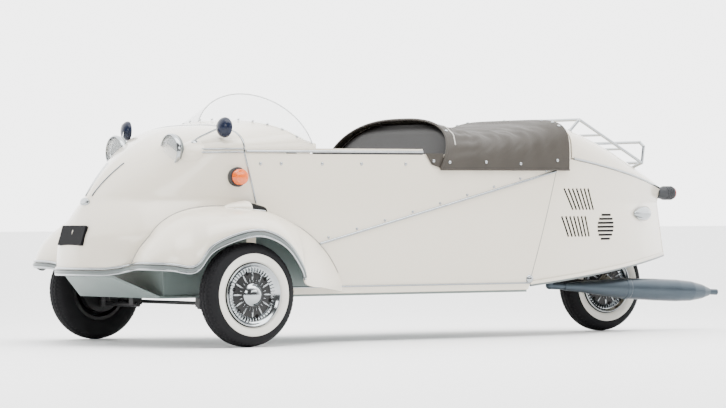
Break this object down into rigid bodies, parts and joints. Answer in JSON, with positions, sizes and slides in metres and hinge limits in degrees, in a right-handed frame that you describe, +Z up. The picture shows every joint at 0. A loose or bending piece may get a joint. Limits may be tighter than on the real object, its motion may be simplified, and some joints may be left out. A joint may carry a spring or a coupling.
{
  "type": "three wheeled microcar",
  "caption": "Small tandem roadster with steered front wheels under flared wings, rounded nose, hinged windscreen frame, cloth cover over the rear seat and a boat tail with a luggage rack.",
  "frame": {"origin": "centre of the bounding box at ground level", "axes": "+X forwards, +Y to the left of the car, +Z up"},
  "size_m": [2.9376, 1.2136, 0.9295],
  "materials": {
    "body_paint": "gloss",
    "underbody": "satin",
    "bright_trim": "polished",
    "clear_screen": "clear",
    "dark_steel": "satin",
    "seat_cover": "soft sheen",
    "cover_cloth": "coated cloth",
    "exhaust_steel": "heat tinted",
    "tyre_rubber": "matt",
    "wheel_steel": "polished",
    "amber_lens": "gloss",
    "lamp_body": "ribbed",
    "lamp_chrome": "polished",
    "plate_black": "gloss"
  },
  "bodies": {
    "body": {"nose_panel": "body_paint", "fender_left": "body_paint", "fender_right": "body_paint", "side_upper_left": "body_paint", "side_upper_right": "body_paint", "side_lower_left": "body_paint", "side_lower_right": "body_paint", "floor_tray": "underbody", "footwell": "body_paint", "rear_bulkhead": "body_paint", "tail_shell": "body_paint", "frame_hinges": "bright_trim", "dashboard": "dark_steel", "seat_frames": "dark_steel", "front_seat": "seat_cover", "front_backrest": "seat_cover", "rear_seat": "seat_cover", "rear_backrest": "seat_cover", "rear_hoop": "body_paint", "tonneau_cover": "cover_cloth", "engine_block": "dark_steel", "rear_frame": "dark_steel", "swing_arm": "dark_steel", "exhaust": "exhaust_steel", "front_suspension": "dark_steel", "headlamps": "bright_trim", "side_mirrors": "bright_trim", "indicators": "amber_lens", "tail_lamp": "lamp_body", "rear_lamps": "lamp_chrome", "number_plate": "plate_black"},
    "cockpit_frame": {"cockpit_frame": "body_paint", "windscreen": "clear_screen"},
    "engine_lid": {"engine_lid": "body_paint", "luggage_rack": "bright_trim"},
    "steering_bar": {"steering_bar": "dark_steel"},
    "knuckle_left": {"knuckle_left": "dark_steel"},
    "knuckle_right": {"knuckle_right": "dark_steel"},
    "track_rod": {"track_rod": "dark_steel"},
    "front_left_wheel": {"tyre_front_left": "tyre_rubber", "wheel_front_left": "wheel_steel"},
    "front_right_wheel": {"tyre_front_right": "tyre_rubber", "wheel_front_right": "wheel_steel"},
    "rear_wheel": {"tyre_rear": "tyre_rubber", "wheel_rear": "wheel_steel"}
  },
  "joints": [
    {"name": "cockpit_frame_hinge", "type": "hinge", "parent": "body", "child": "cockpit_frame", "pos_m": [0.4085, -0.4032, 0.699], "axis": [1, 0, 0], "range_deg": [0, 75]},
    {"name": "engine_lid_hinge", "type": "hinge", "parent": "body", "child": "engine_lid", "pos_m": [-0.54775, 0, 0.8315], "axis": [0, 1, 0], "range_deg": [0, 45]},
    {"name": "steer_left", "type": "hinge", "parent": "body", "child": "knuckle_left", "pos_m": [1.0385, 0.464, 0.188], "axis": [0, 0, 1], "range_deg": [-27, 27]},
    {"name": "steer_right", "type": "hinge", "parent": "body", "child": "knuckle_right", "pos_m": [1.0385, -0.464, 0.188], "axis": [0, 0, 1], "range_deg": [-27.2, 27.2]},
    {"name": "steering_bar_turn", "type": "hinge", "parent": "body", "child": "steering_bar", "pos_m": [0.9185, 0, 0.232], "axis": [-0.6508, 0, 0.7593], "range_deg": [-27.2, 27.2]},
    {"name": "track_rod_slide", "type": "slide", "parent": "body", "child": "track_rod", "axis": [0, 1, 0], "range_m": [-0.04, 0.04]},
    {"name": "front_left_spin", "type": "hinge", "parent": "knuckle_left", "child": "front_left_wheel", "pos_m": [1.0385, 0.54, 0.188], "axis": [0, 1, 0], "continuous": true},
    {"name": "front_right_spin", "type": "hinge", "parent": "knuckle_right", "child": "front_right_wheel", "pos_m": [1.0385, -0.54, 0.188], "axis": [0, 1, 0], "continuous": true},
    {"name": "rear_spin", "type": "hinge", "parent": "body", "child": "rear_wheel", "pos_m": [-0.9885, 0, 0.188], "axis": [0, 1, 0], "continuous": true}
  ],
  "couplings": [
    {"joint": "steer_right", "follows": "steer_left", "ratio": 1},
    {"joint": "steering_bar_turn", "follows": "steer_left", "ratio": 1},
    {"joint": "track_rod_slide", "follows": "steer_left", "m_per_rad": -0.08}
  ]
}
